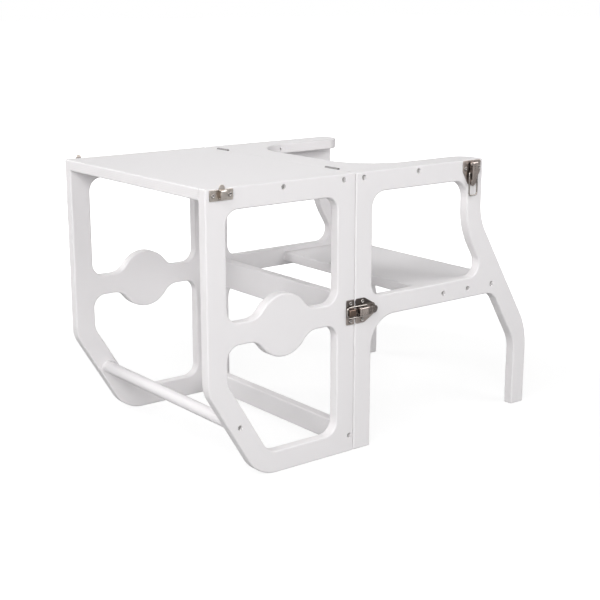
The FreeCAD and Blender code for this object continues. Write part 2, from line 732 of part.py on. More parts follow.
sided = {
    "frame_side": frame_left,
    "base_side": base_left,
    "hinge_frame_leaf": hinge_leaf(-1, 1, pin_radius + pin_clearance),
    "hinge_base_leaf": hinge_leaf(1, 0, pin_radius),
    "hinge_pin": hinge_pin(),
    "joint_strike": at_joint(strike_plate()),
    "tower_strike": folded(at_tower(strike_plate())),
    "joint_latch_plate": at_joint(latch_plate()),
    "tower_latch_plate": at_tower(latch_plate()),
    "joint_latch_lever": at_joint(latch_lever()),
    "tower_latch_lever": at_tower(latch_lever()),
    "joint_latch_loop": at_joint(latch_loop(180 + hooked_angle)),
    "tower_latch_loop": at_tower(latch_loop(0)),
}
single = {
    "table_board": table_board(),
    "platform_board": platform_board(),
    "seat_board": seat_board(),
    "base_crossboard": base_crossboard(),
    "frame_crossboard": frame_crossboard(),
    "guard_dowel": guard_dowel(),
}
grouped = {
    "frame_panel_screws": [panel_screw(x, z) for x, z in frame_screw_places],
    "base_panel_screws": [panel_screw(x, z) for x, z in base_screw_places],
    "strike_screws": [at_joint(s) for s in strike_screws()] + [folded(at_tower(s)) for s in strike_screws()],
    "latch_screws": [at_joint(s) for s in latch_screws()] + [at_tower(s) for s in latch_screws()],
    "hinge_frame_screws": hinge_screws(-1),
    "hinge_base_screws": hinge_screws(1),
    "lever_rivets": [at_joint(lever_rivet()), at_tower(lever_rivet())],
}

nodes = dict(single)
for name, shape in sided.items():
    nodes[name + "_left"] = shape
    nodes[name + "_right"] = mirrored(shape)
for name, shapes in grouped.items():
    nodes[name] = Part.makeCompound(shapes + [mirrored(shape) for shape in shapes])

os.makedirs("parts", exist_ok=True)
for name, shape in nodes.items():
    placed = shape.translated(Vector(-middle_x, 0, 0))
    placed.exportStep("parts/" + name + ".step")
    print(name, len(placed.Solids), placed.isValid(), round(placed.Volume))
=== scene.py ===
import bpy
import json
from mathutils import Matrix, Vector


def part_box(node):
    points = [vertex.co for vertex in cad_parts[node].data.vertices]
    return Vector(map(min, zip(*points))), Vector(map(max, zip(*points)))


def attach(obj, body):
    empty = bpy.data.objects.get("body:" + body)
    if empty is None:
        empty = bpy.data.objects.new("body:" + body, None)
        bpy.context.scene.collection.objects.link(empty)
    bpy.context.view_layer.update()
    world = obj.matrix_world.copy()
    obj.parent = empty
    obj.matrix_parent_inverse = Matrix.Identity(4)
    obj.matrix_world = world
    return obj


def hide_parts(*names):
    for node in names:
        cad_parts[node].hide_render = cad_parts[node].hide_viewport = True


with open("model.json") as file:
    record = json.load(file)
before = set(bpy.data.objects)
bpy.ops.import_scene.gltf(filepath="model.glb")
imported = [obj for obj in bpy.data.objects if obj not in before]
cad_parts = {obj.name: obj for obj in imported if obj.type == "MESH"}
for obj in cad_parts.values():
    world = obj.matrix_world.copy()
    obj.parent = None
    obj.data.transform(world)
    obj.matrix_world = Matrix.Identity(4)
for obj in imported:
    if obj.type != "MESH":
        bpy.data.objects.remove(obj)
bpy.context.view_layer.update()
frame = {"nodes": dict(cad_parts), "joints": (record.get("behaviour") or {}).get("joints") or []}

import json
import math

import bpy
import numpy as np
from mathutils import Matrix

# Kitchen helper stool for toddlers, table-and-seat position: white painted plywood and nickel
# plated fittings. Boards, panels, dowel and hinges keep their CAD shapes and get their paint or
# their finish here. Latches, strikes, rivets and screw heads are made here as finer surfaces over
# the CAD solids, and replace them. Lengths are in millimetres, in the row's frame, and become
# metres when a mesh is made; where a finish, the floor, a lamp or the camera is given in metres,
# its comment says so. Left is -Y and right is +Y.

MM = 0.001


# ---------------------------------------------------------------- places, from the frame
def joint_place(name):
    """Where a joint turns: [x, y, z]."""
    joint = next(joint for joint in frame["joints"] if joint["name"] == name)
    return [round(value / MM, 3) for value in joint["pos_m"]]


HINGE_X, _, HEIGHT = joint_place("frame_fold")          # hinge axis; table top and platform
FACE = round(-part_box("base_side_left")[0].y / MM, 3)    # middle plane to a panel's outer face
LATCH_Z = joint_place("joint_lever_turn_left")[2]       # middle line of the joint latches
TOWER_X = joint_place("tower_lever_turn_left")[0] - HINGE_X
HEAD_GAP = 1.0              # hinge axis, or platform top, to the head edge of a latch plate


def latch_place(name):
    """Where a joint of the joint latch turns: along from its head edge, and out from the panel."""
    x, y, _ = joint_place(name)
    return round(x - HINGE_X - HEAD_GAP, 3), round(-y - FACE, 3)


PIVOT = latch_place("joint_lever_turn_left")            # lever rivet, in every latch
LOOP_PIVOT = latch_place("joint_loop_turn_left")

# ---------------------------------------------------------------- sizes of the fittings
SHEET = 1.5                 # latch plates and strike plates
PLATE_RIM = 0.35            # rolled edge of stamped sheet
PLATE_HALF = 20.0           # half of a plate's width
PLATE_ROUND = 3.0
PLATE_SHOULDER = 18.0       # head edge to where a latch plate narrows
PLATE_BEND_ROUND = 6.0
PLATE_LENGTH = 40.0
TAIL_HALF = 7.5
EAR_RADIUS = 2.4            # ear around its rivet
EAR_CORNER = 2.38           # a little less, so that every edge of the outline has a length
EAR_FOOT = 0.4              # above the panel face, inside the plate
EAR_INSIDE = 3.6            # middle of the latch to the inner side of an ear
EAR_SHEET = 1.2
EAR_RIM = 0.15

LEVER_SHEET = 1.3
LEVER_HALF = 6.5            # half of the lever's width
LEVER_HEAD = 3.4            # rivet to the lever's head end
LEVER_NOSE = 1.6            # rounding of the head end, seen from the side
LEVER_BACK = 4.1            # rivet to the outer side of the back
LEVER_FLANGE = 3.4          # rivet to the lower edge of a flange
LEVER_FLAT = 21.0           # head edge to where the back starts to fall
LEVER_FALL = 5.5            # from there to the tip
LEVER_TIP = 42.5            # head edge to the tip
TIP_RUN = 8.5               # length of the tip that has close stations
TIP_DEPTH = 2.0             # back to foot line at the tip
FOOT_RISE = (25.0, 12.0)    # where the foot line starts to rise to the back, and over what length
WAIST = (31.0, 3.0, 1.0)    # place of the lever's waist, its reach and its depth
THUMB_RADIUS = 6.0

WIRE = 1.25                 # radius of the loop's wire
WIRE_PLAY = 0.4             # hooked wire to the foot of the bridge
LOOP_HALF = 8.8             # middle of the latch to a loop leg
LOOP_END = 5.5              # middle of the latch to where the inturned ends stop
LOOP_SHOULDER = 1.8         # bend between a leg and its inturned end
LOOP_CORNER = 4.0
HOOK_RISE = 3.4             # hooked wire above the panel face

STRIKE_GAP = 3.0            # head edge of the latch plate to the near edge of the strike plate
STRIKE_LENGTH = 16.0
STRIKE_ROUND = 1.5
BRIDGE_INSET = 0.4          # near edge of the strike plate to the bridge
BRIDGE_LENGTH = 13.2
BRIDGE_HALF = 5.0
BRIDGE_HEIGHT = 8.0
BRIDGE_SHEET = 1.4
BRIDGE_BEND = 1.2           # at the middle of the sheet
BRIDGE_RIM = 0.35
BRIDGE_FOOT = 0.3           # above the panel face, inside the plate
TAB_HALF = 4.8              # guide tab over the strike plate, beyond its near edge
TAB_ROOT = 1.4              # how far it starts behind that edge
TAB_REACH = 7.0
TAB_ROUND = 4.7
TAB_SHEET = 1.4
TAB_RIM = 0.3
TAB_LIFT = 0.3              # above the strike plate

RIVET_HEAD = 2.4
RIVET_DOME = 0.55
RIVET_SHANK = 1.2
RIVET_SEAT = 6.65           # middle of the latch to the foot of the dome
RIVET_UNDERCUT = 0.05       # slope under the head, towards the shank
RIVET_MIDDLE = 0.5          # middle of the latch to where each half of the shank ends

SMALL_HEAD = 3.3            # radius of the screw heads on latches and strikes
SMALL_HEIGHT = 1.7
PLATE_SCREWS = (13.0, 15.0)     # along from the head edge, and to each side of the middle
STRIKE_SCREWS = (-11.0, 14.5)
PANEL_HEAD = 3.8            # radius of the sunk heads in the panels
PANEL_HEAD_HEIGHT = 2.0
PANEL_RECESS = 4.6          # panel face to the flat of a sunk head
HEAD_FOOT = -0.05           # a head's underside, just inside what it stands on
AXIS_RADIUS = 1e-4          # stands for 0 where a turned surface meets its axis

# panel screws: (x from the hinge axis, z)
FRAME_SCREWS = [(-24.0, 441.0), (-139.0, 441.0), (-221.55, 87.0), (-9.4, 27.5)]
BASE_SCREWS = [
    (16.0, 441.0), (131.0, 441.0), (193.5, 231.5), (251.0, 231.5), (308.5, 231.5), (17.0, 223.5),
]

SMOOTH_ANGLE = math.radians(40.0)   # edges sharper than this stay sharp
TURN = 2 * math.pi


# ---------------------------------------------------------------- surfaces
# A part of a piece is (points, faces): an array (n, 3) in millimetres, and rows of point numbers.
def make_piece(name, parts, second_material_parts=()):
    """One mesh object from parts. The parts whose numbers are in second_material_parts take the second material."""
    points = []
    faces = []
    marks = []
    start = 0
    for number, (part_points, part_faces) in enumerate(parts):
        points.append(part_points)
        faces += [[start + i for i in face] for face in part_faces]
        marks += [int(number in second_material_parts)] * len(part_faces)
        start += len(part_points)
    mesh = bpy.data.meshes.new(name)
    mesh.from_pydata((np.vstack(points) * MM).tolist(), [], faces)
    mesh.polygons.foreach_set("material_index", marks)
    mesh.update()
    mesh.shade_smooth()
    mesh.set_sharp_from_angle(angle=SMOOTH_ANGLE)
    piece = bpy.data.objects.new(name, mesh)
    bpy.context.scene.collection.objects.link(piece)
    return piece


def tube_surface(rings):
    """Closed rings of points (n, m, 3), each joined to the next by quads, with a flat cap on both ends."""
    n, m, _ = rings.shape
    ring, spot = np.meshgrid(np.arange(n - 1), np.arange(m), indexing="ij")
    here, there, after = ring * m, (ring + 1) * m, (spot + 1) % m
    quads = np.stack([here + spot, there + spot, there + after, here + after], -1)
    caps = [list(range(m - 1, -1, -1)), list(range((n - 1) * m, n * m))]
    return rings.reshape(-1, 3), quads.reshape(-1, 4).tolist() + caps


def unit(rows):
    """Rows of vectors, each divided by its length."""
    return rows / np.linalg.norm(rows, axis=-1, keepdims=True)


def quarter(count):
    """Angles from 0 to a right angle."""
    return np.linspace(0, math.pi / 2, count)


def rounded_corner(before, corner, after, radius, count):
    """Points on the arc that rounds a corner: centre + radius * direction, turned evenly."""
    back = unit(before - corner)
    ahead = unit(after - corner)
    half = math.acos(np.clip(back @ ahead, -1, 1)) / 2
    centre = corner + unit(back + ahead) * radius / math.sin(half)
    first = corner + back * radius / math.tan(half) - centre
    last = corner + ahead * radius / math.tan(half) - centre
    t = np.linspace(0, 1, count)[:, None]
    sweep = math.pi - 2 * half
    turned = (np.sin((1 - t) * sweep) * first + np.sin(t * sweep) * last) / math.sin(sweep)
    return centre + turned


def rounded_outline(corners, count=7, closed=True):
    """Points along a run of (x, y, radius) corners, each rounded by its arc of count points."""
    places = [np.array(corner[:2], float) for corner in corners]
    last = len(places) - 1
    runs = []
    for i, (_, _, radius) in enumerate(corners):
        if radius and (closed or 0 < i < last):
            after = places[0 if i == last else i + 1]
            runs.append(rounded_corner(places[i - 1], places[i], after, radius, count))
        else:
            runs.append(places[i][None, :])
    return np.vstack(runs)


def both_halves(half):
    """Corners of an outline that is alike on both sides of its middle line, from those on one side."""
    return [(s, -v, radius) for s, v, radius in half] + half[::-1]


def slab(outline, low, high, rim=PLATE_RIM):
    """Plate with rolled edges, from low to high over an outline (n, 2) that runs anticlockwise.

    The edge is set in by rim * (1 - sin a) while it rises by rim * (1 - cos a), and the same way back at
    the top. Points move inwards along the mean normal of their two runs.
    """
    ahead = unit(np.roll(outline, -1, 0) - outline)
    normal = np.stack([-ahead[:, 1], ahead[:, 0]], -1)
    inward = normal + np.roll(normal, 1, 0)
    inward /= (inward * inward).sum(1)[:, None] / 2
    a = quarter(4)
    inset = rim * (1 - np.sin(a))
    rise = rim * (1 - np.cos(a))
    insets = np.concatenate([inset, inset[::-1]])
    rings = np.empty((len(insets), len(outline), 3))
    rings[:, :, :2] = outline[None] + inward[None] * insets[:, None, None]
    rings[:, :, 2] = np.concatenate([low + rise, high - rise[::-1]])[:, None]
    return tube_surface(rings)


def revolved(profile, turns, recess=None):
    """Surface of revolution about z of (radius, height) rows, its first and last rows on the axis.

    recess(x, y) is a depth that is taken off what stands above 0, as a driver recess in a screw head.
    """
    radius, height = np.array(profile, float).T
    radius[[0, -1]] = AXIS_RADIUS
    angle = np.linspace(0, TURN, turns, endpoint=False)
    x = radius[:, None] * np.cos(angle)
    y = radius[:, None] * np.sin(angle)
    z = np.repeat(height[:, None], turns, 1)
    if recess is not None:
        z = z - recess(x, y) * (height > 0)[:, None]
    return tube_surface(np.stack([x, y, z], -1)[:, ::-1])


def wire(path, radius, turns=16):
    """Round wire along a path in the xy plane: centre + radius * (cos a * side + sin a * up)."""
    up = np.array([0.0, 0.0, 1.0])
    side = np.cross(unit(np.gradient(path, axis=0)), up)
    angle = np.linspace(0, TURN, turns, endpoint=False)[None, :, None]
    return tube_surface(path[:, None] + radius * (np.cos(angle) * side[:, None] + np.sin(angle) * up))


def moved(part, change):
    """The same faces with changed points."""
    return change(part[0]), part[1]


def mirrored(part):
    """The same faces with y reversed, which turns them inside out."""
    return moved(part, lambda points: points * np.array([1, -1, 1]))


def turned_over(part):
    """The same points with every face reversed."""
    return part[0], [face[::-1] for face in part[1]]


# ---------------------------------------------------------------- places of the fittings
# In a latch's own frame s runs from its head edge to its tail, v across and w out of the panel. Each
# function takes points of that frame to their place on the left side.
def at_joint(points):
    """Joint latch and its strike: s from the joint towards +X, v up."""
    s, v, w = points.T
    return np.stack([HINGE_X + HEAD_GAP + s, -FACE - w, LATCH_Z + v], -1)


def at_tower(points):
    """Tower latch: s down from the platform, v towards +X."""
    s, v, w = points.T
    return np.stack([HINGE_X + TOWER_X + v, -FACE - w, HEIGHT - HEAD_GAP - s], -1)


def at_folded_tower(points):
    """Strike of a tower latch on the folded frame: the tower latch's place turned over at the hinge."""
    s, v, w = points.T
    return np.stack([HINGE_X - TOWER_X - v, -FACE - w, HEIGHT + HEAD_GAP + s], -1)


def at_panel(points):
    """Panel screw: x from the hinge axis, z up, w out of the panel."""
    x, z, w = points.T
    return np.stack([HINGE_X + x, -FACE - w, z], -1)


def both_sides(parts, place):
    """Left and right lists of parts; the right one is mirrored, so its faces are reversed."""
    left = [moved(part, place) for part in parts]
    right = [turned_over(mirrored(part)) for part in left]
    return left, right


# ---------------------------------------------------------------- shapes of the fittings
def latch_plate():
    """Stamped plate with two wings, a tapering tail and two ears."""
    outline = rounded_outline(both_halves([
        (0, PLATE_HALF, PLATE_ROUND), (PLATE_SHOULDER, PLATE_HALF, PLATE_BEND_ROUND),
        (PLATE_LENGTH, TAIL_HALF, PLATE_ROUND),
    ]))
    near, far = PIVOT[0] - EAR_RADIUS, PIVOT[0] + EAR_RADIUS
    top = PIVOT[1] + EAR_RADIUS
    ear = rounded_outline([
        (near, EAR_FOOT, 0), (far, EAR_FOOT, 0), (far, top, EAR_CORNER), (near, top, EAR_CORNER),
    ], count=10)
    parts = [slab(outline, 0, SHEET)]
    for low in (EAR_INSIDE, -EAR_INSIDE - EAR_SHEET):
        part = slab(ear, low, low + EAR_SHEET, EAR_RIM)
        parts.append(turned_over(moved(part, lambda p: p[:, [0, 2, 1]])))
    return parts


def lever_top(s):
    """Outer side of the lever's back: level, then falling to the tip, steeper towards it."""
    even = 0.75                 # share of the fall that is a straight slope
    along = np.clip((s - LEVER_FLAT) / (LEVER_TIP - LEVER_FLAT), 0, 1)
    return PIVOT[1] + LEVER_BACK - LEVER_FALL * (even * along + (1 - even) * along ** 2)


def lever_width(s):
    """Half of the lever's width: straight but for a waist, a bell curve, then a round thumb end."""
    place, reach, depth = WAIST
    body = LEVER_HALF - depth * np.exp(-((s - place) / reach) ** 2)
    centre = LEVER_TIP - THUMB_RADIUS
    thumb = np.sqrt(THUMB_RADIUS ** 2 - np.clip(s - centre, 0, THUMB_RADIUS) ** 2)
    return np.where(s > centre, thumb, body)


def lever():
    """Channel bent from sheet, its section carried from the head to the tip.

    At each station s the section runs up one flange, over the back, down the other flange, round its
    foot, up inside, across under the back and the same way out again. Its width and top follow
    lever_width and lever_top; its foot line is level, then rises along a smooth step to meet the back
    at the thumb end. At the head, top and foot close in along a quarter circle.
    """
    nose_flat = 0.8             # share of the nose's rounding that the top takes
    nose_gap = 0.6              # from the nose to the next station
    least_half = 0.02           # the tip keeps this half width, so that no edge has no length
    head = PIVOT[0] - LEVER_HEAD
    s = np.concatenate([
        head + LEVER_NOSE * (1 - np.cos(quarter(8))),
        np.linspace(head + LEVER_NOSE + nose_gap, LEVER_TIP - TIP_RUN, 30),
        LEVER_TIP - TIP_RUN + TIP_RUN * np.sin(quarter(14))[1:],
    ])
    to_nose = np.clip(LEVER_NOSE - (s - head), 0, LEVER_NOSE)
    close = LEVER_NOSE - np.sqrt(LEVER_NOSE ** 2 - to_nose ** 2)
    top = lever_top(s) - nose_flat * close
    half = np.maximum(lever_width(s), least_half)
    start, run = FOOT_RISE
    share = np.clip((s - start) / run, 0, 1)
    step = share * share * (3 - 2 * share)
    foot = (PIVOT[1] - LEVER_FLANGE + close) * (1 - step) + (top - TIP_DEPTH) * step

    bend = LEVER_SHEET          # outer bend between a flange and the back, narrower where the lever is
    corner = 0.3                # inner bend
    edge = 0.25                 # rounding of a flange's outer edge
    inner_edge = 0.2
    least_depth = 0.05          # of the channel, where it closes at the tip
    over_back = (0.6, 0.2)      # section points on the back, as shares of its half width
    narrow = half / LEVER_HALF
    inner_half = half * (1 - LEVER_SHEET / LEVER_HALF)
    inner_top = np.minimum(lever_top(s) - LEVER_SHEET, top - corner)
    inner_foot = np.minimum(foot, inner_top - least_depth)
    outside = [(half, foot + edge), (half, (foot + top - bend) / 2)]
    outside += [(half - bend * narrow * (1 - np.cos(a)), top - bend * (1 - np.sin(a))) for a in quarter(6)]
    outside += [(half * place, top) for place in over_back]
    inside = [((half + inner_half) / 2, foot), (inner_half, inner_foot + inner_edge),
              (inner_half, inner_top - corner), (inner_half - corner * narrow, inner_top)]
    other_side = [(-across, level) for across, level in outside[::-1] + inside]
    section = outside + other_side + inside[::-1]
    rings = np.stack([np.stack([s, across, level], -1) for across, level in section], 1)
    return [turned_over(tube_surface(rings))]


def rivet():
    """Two rivet heads, each with its half of the shank between the ears.

    A head's dome is a quarter of an ellipse turned about the rivet: radius * sin a, height * cos a.
    """
    a = quarter(8)[:, None]
    dome = np.hstack([RIVET_HEAD * np.sin(a), RIVET_SEAT + RIVET_DOME * np.cos(a)])
    shank = [[RIVET_HEAD, RIVET_SEAT], [RIVET_SHANK, RIVET_SEAT - RIVET_UNDERCUT],
             [RIVET_SHANK, RIVET_MIDDLE], [0, RIVET_MIDDLE]]
    points, faces = revolved(np.vstack([dome, shank]), turns=28)
    x, y, z = points.T
    ahead = (np.stack([PIVOT[0] + x, z, PIVOT[1] + y], -1), faces)
    return [turned_over(ahead), mirrored(ahead)]


def loop(hooked):
    """Wire loop: inturned ends, legs and bight, towards the strike when hooked, else to the tail.

    The wire's middle line lies flat, then turns about the loop's pivot to where the loop rests.
    """
    hook_end = -(STRIKE_GAP + BRIDGE_INSET + BRIDGE_LENGTH + WIRE_PLAY + WIRE)
    reach = math.hypot(LOOP_PIVOT[0] - hook_end, LOOP_PIVOT[1] - HOOK_RISE)
    line = rounded_outline(both_halves([
        (0, -LOOP_END, 0), (0, -LOOP_HALF, LOOP_SHOULDER), (reach, -LOOP_HALF, LOOP_CORNER),
    ]), count=12, closed=False)
    points, faces = wire(np.column_stack([line, np.zeros(len(line))]), WIRE)
    fall = math.asin((LOOP_PIVOT[1] - HOOK_RISE) / reach)
    angle = math.pi + fall if hooked else 0.0
    x, y, z = points.T
    s = LOOP_PIVOT[0] + x * math.cos(angle) - z * math.sin(angle)
    w = LOOP_PIVOT[1] + x * math.sin(angle) + z * math.cos(angle)
    return [(np.stack([s, y, w], -1), faces)]


def bridge(front, back):
    """Strap bent from sheet: its section carried along the middle of the sheet, up, over and down."""
    top = BRIDGE_HEIGHT - BRIDGE_SHEET / 2
    path = rounded_outline([
        (front, BRIDGE_FOOT, 0), (front, top, BRIDGE_BEND), (back, top, BRIDGE_BEND), (back, BRIDGE_FOOT, 0),
    ], count=8, closed=False)
    along = unit(np.gradient(path, axis=0))
    outward = np.stack([along[:, 1], -along[:, 0]], -1)
    section = rounded_outline(both_halves([
        (-BRIDGE_HALF, BRIDGE_SHEET / 2, BRIDGE_RIM), (BRIDGE_HALF, BRIDGE_SHEET / 2, BRIDGE_RIM),
    ]), count=4)
    rings = np.empty((len(path), len(section), 3))
    rings[:, :, [0, 2]] = path[:, None] + outward[:, None] * section[None, :, 1:]
    rings[:, :, 1] = section[None, :, 0]
    return tube_surface(rings)


def strike():
    """Strike plate: a stamped plate, the bridge that the loop hooks behind, and a guide tab."""
    near, far = -STRIKE_GAP, -STRIKE_GAP - STRIKE_LENGTH
    plate = rounded_outline(both_halves([
        (far, PLATE_HALF, STRIKE_ROUND), (near, PLATE_HALF, STRIKE_ROUND),
    ]), count=6)
    front = near - BRIDGE_INSET - BRIDGE_SHEET / 2
    back = near - BRIDGE_INSET - BRIDGE_LENGTH + BRIDGE_SHEET / 2
    tab = rounded_outline(both_halves([
        (near - TAB_ROOT, TAB_HALF, 0), (near + TAB_REACH, TAB_HALF, TAB_ROUND),
    ]), count=14)
    tab_low = SHEET + TAB_LIFT
    return [slab(plate, 0, SHEET), bridge(front, back), slab(tab, tab_low, tab_low + TAB_SHEET, TAB_RIM)]


# ---------------------------------------------------------------- screw heads
def cross_recess(width, reach, depth):
    """A cross-shaped driver recess, as a function recess(x, y) that gives its depth.

    Two arms cross. Each has sloping walls and ends, and the deeper of the two counts.
    """
    wall_slope = 0.45           # width of a wall, as a share of the arm's half width
    wall_start = 0.35           # share of the depth that the wall has at that half width
    end_slope = 0.6             # length of an arm's sloping end, as a share of its reach

    def arm(along, across):
        wall = np.clip((width - np.abs(across)) / (wall_slope * width) + wall_start, 0, 1)
        end = np.clip((reach - np.abs(along)) / (end_slope * reach), 0, 1)
        return wall * end

    def recess(x, y):
        return depth * np.maximum(arm(x, y), arm(y, x))

    return recess


def pan_head(radius, height):
    """Pan-headed screw: a dome that falls with the square of the radius, a rolled rim and a recess."""
    dome = 0.86                 # share of the radius under the dome
    dome_fall = 0.12            # shares of the height
    rim_fall = 0.55
    t = np.linspace(0, 1, 16)[:, None]
    a = quarter(6)[1:, None]
    top = np.hstack([radius * dome * t, height * (1 - dome_fall * t ** 2)])
    rim = np.hstack([radius * (dome + (1 - dome) * np.sin(a)),
                     height * (1 - dome_fall - rim_fall * (1 - np.cos(a)))])
    profile = np.vstack([top, rim, [[radius, 0.0], [0.0, HEAD_FOOT]]])
    return revolved(profile, turns=36, recess=cross_recess(width=0.62, reach=0.68 * radius, depth=0.75))


def sunk_head(radius, height):
    """Countersunk chipboard screw seen in its bore: a flat face with a recess."""
    flat = 0.93                 # share of the radius that is flat
    bevel = 0.2
    t = np.linspace(0, 1, 16)[:, None]
    face = np.hstack([radius * flat * t, 0 * t + height])
    profile = np.vstack([face, [[radius, height - bevel], [radius, 0.0], [0.0, HEAD_FOOT]]])
    return revolved(profile, turns=36, recess=cross_recess(width=0.75, reach=0.7 * radius, depth=1.5))


def heads_at(head, places, turns):
    """Copies of a screw head, each turned about its axis and set on its (s, v, w) place."""
    points, faces = head
    x, y, z = points.T
    parts = []
    for (s, v, w), turn in zip(places, turns):
        c, d = math.cos(turn), math.sin(turn)
        parts.append((np.stack([s + c * x - d * y, v + d * x + c * y, w + z], -1), faces))
    return parts


def panel_screws(places, turns):
    """Sunk screw heads in both side panels; left and right ones take their turns alternately."""
    head = sunk_head(PANEL_HEAD, PANEL_HEAD_HEIGHT)
    spots = [(x, z, -PANEL_RECESS - PANEL_HEAD_HEIGHT) for x, z in places]
    left = both_sides(heads_at(head, spots, turns[0::2]), at_panel)[0]
    right = both_sides(heads_at(head, spots, turns[1::2]), at_panel)[1]
    return left + right


def on_both(parts, place):
    """Parts of the left and the right side in one list."""
    left, right = both_sides(parts, place)
    return left + right


def small_screws(along_and_side, turns, place):
    """The two pan heads on a plate, left and right."""
    along, side = along_and_side
    spots = [(along, -side, SHEET), (along, side, SHEET)]
    return on_both(heads_at(pan_head(SMALL_HEAD, SMALL_HEIGHT), spots, turns), place)


# ---------------------------------------------------------------- shader nodes
def new_group(name, inputs, outputs):
    """A shader node group with named sockets; inputs are (name, type, default).

    Gives the group's tree, the outputs that carry what it is given, and the inputs of its result.
    """
    tree = bpy.data.node_groups.new(name, "ShaderNodeTree")
    for label, kind, default in inputs:
        socket = tree.interface.new_socket(label, in_out="INPUT", socket_type="NodeSocket" + kind)
        if default is not None:
            socket.default_value = default
    for label, kind in outputs:
        tree.interface.new_socket(label, in_out="OUTPUT", socket_type="NodeSocket" + kind)
    return tree, tree.nodes.new("NodeGroupInput").outputs, tree.nodes.new("NodeGroupOutput").inputs


def add_node(tree, kind, settings=None, **inputs):
    """A node with its settings and its inputs; an input is a value or another node's output."""
    node = tree.nodes.new("ShaderNode" + kind)
    for key, value in (settings or {}).items():
        setattr(node, key, value)
    for key, value in inputs.items():
        give(tree, node.inputs[key.replace("_", " ")], value)
    return node


def give(tree, socket, value):
    """Set an input to a value, or link it to another node's output."""
    if isinstance(value, bpy.types.NodeSocket):
        tree.links.new(value, socket)
    else:
        socket.default_value = value


def calculate(tree, operation, *terms):
    """Result of a Math node on its terms, in order."""
    node = add_node(tree, "Math", {"operation": operation})
    for socket, term in zip(node.inputs, terms):
        give(tree, socket, term)
    return node.outputs["Value"]


def combine(tree, operation, *terms):
    """Result of a Vector Math node: a number for a dot product or a length, else a vector."""
    node = add_node(tree, "VectorMath", {"operation": operation})
    for socket, term in zip(node.inputs, terms):
        give(tree, socket, term)
    return node.outputs["Value" if operation in ("DOT_PRODUCT", "LENGTH") else "Vector"]


def scaled(tree, colour, level):
    """A colour multiplied by a number."""
    return add_node(tree, "VectorMath", {"operation": "SCALE"}, Vector=colour, Scale=level).outputs["Vector"]


def stained(tree, colour, stain, share):
    """A colour multiplied by a stain, more so as share goes from 0 to 1."""
    first, second, result = 6, 7, 2     # a Mix node's sockets for colours
    node = add_node(tree, "Mix", {"data_type": "RGBA", "blend_type": "MULTIPLY"}, Factor=share)
    give(tree, node.inputs[first], colour)
    give(tree, node.inputs[second], stain)
    return node.outputs[result]


def mapped(tree, value, span, levels):
    """A value that goes from the first level to the second over a span, and is held at its ends."""
    node = add_node(tree, "MapRange", Value=value, From_Min=span[0], From_Max=span[1],
                    To_Min=levels[0], To_Max=levels[1])
    return node.outputs["Result"]


def noise(tree, place, **inputs):
    """Noise from 0 to 1 over a place; Scale is in cells per metre."""
    return add_node(tree, "TexNoise", Vector=place, **inputs).outputs["Fac"]


def mixed(tree, share, first, second):
    """First shader, going over to the second as share goes from 0 to 1."""
    node = add_node(tree, "MixShader")
    for socket, value in zip(node.inputs, (share, first, second)):
        give(tree, socket, value)
    return node.outputs["Shader"]


# ---------------------------------------------------------------- finishes
def paint_film():
    """Brushed and rolled paint over plywood: faint grain, stipple and an uneven sheen."""
    clean_tone = 0.978          # with the means of the clouds and the grain added, about 1
    grain_tone = 0.012          # how much the grain brightens the paint
    cloud_rough = 0.12
    stipple_height = 0.45       # of the grain's height
    tree, given, result = new_group(
        "paint film",
        [("Along", "Vector", None), ("Paint", "Color", (0.8, 0.8, 0.8, 1)),
         ("Shade", "Float", 0.03), ("Sheen", "Float", 0.5)],
        [("Color", "Color"), ("Roughness", "Float"), ("Height", "Float")])
    place = add_node(tree, "TexCoord").outputs["Object"]
    grain = noise(tree, combine(tree, "MULTIPLY", place, given["Along"]),
                  Scale=420.0, Detail=5.0, Roughness=0.62, Distortion=0.4)
    stipple = noise(tree, place, Scale=1100.0, Detail=2.0)
    cloud = noise(tree, place, Scale=7.0, Detail=3.0)
    tone = calculate(tree, "MULTIPLY_ADD", cloud, given["Shade"], clean_tone)
    tone = calculate(tree, "MULTIPLY_ADD", grain, grain_tone, tone)
    give(tree, result["Color"], scaled(tree, given["Paint"], tone))
    give(tree, result["Roughness"], calculate(tree, "MULTIPLY_ADD", cloud, cloud_rough, given["Sheen"]))
    give(tree, result["Height"], calculate(tree, "MULTIPLY_ADD", stipple, stipple_height, grain))
    return tree


def ply_edge():
    """Layers of the plywood telegraphing through the paint on cut edges, across a board's normal."""
    edge_facing = (0.5, 0.1)    # share of the board's normal in a face's, from face to cut edge
    seam_wave = (0.55, 1.0)     # crest of the wave that is a seam
    wobble_depth = 0.0006       # metres that a layer strays
    tree, given, result = new_group(
        "ply edge",
        [("Across", "Vector", None), ("Layers", "Float", 700.0)],
        [("Mask", "Float"), ("Height", "Float")])
    place = add_node(tree, "TexCoord").outputs
    facing = calculate(tree, "ABSOLUTE", combine(tree, "DOT_PRODUCT", place["Normal"], given["Across"]))
    on_edge = mapped(tree, facing, edge_facing, (0.0, 1.0))
    depth = combine(tree, "DOT_PRODUCT", place["Object"], given["Across"])
    wobble = noise(tree, place["Object"], Scale=18.0, Detail=2.0)
    strayed = calculate(tree, "MULTIPLY_ADD", wobble, wobble_depth, depth)
    wave = calculate(tree, "SINE", calculate(tree, "MULTIPLY", strayed, given["Layers"]))
    seam = mapped(tree, wave, seam_wave, (0.0, 1.0))
    mask = calculate(tree, "MULTIPLY", seam, on_edge)
    give(tree, result["Mask"], mask)
    give(tree, result["Height"], calculate(tree, "SUBTRACT", 1.0, mask))
    return tree


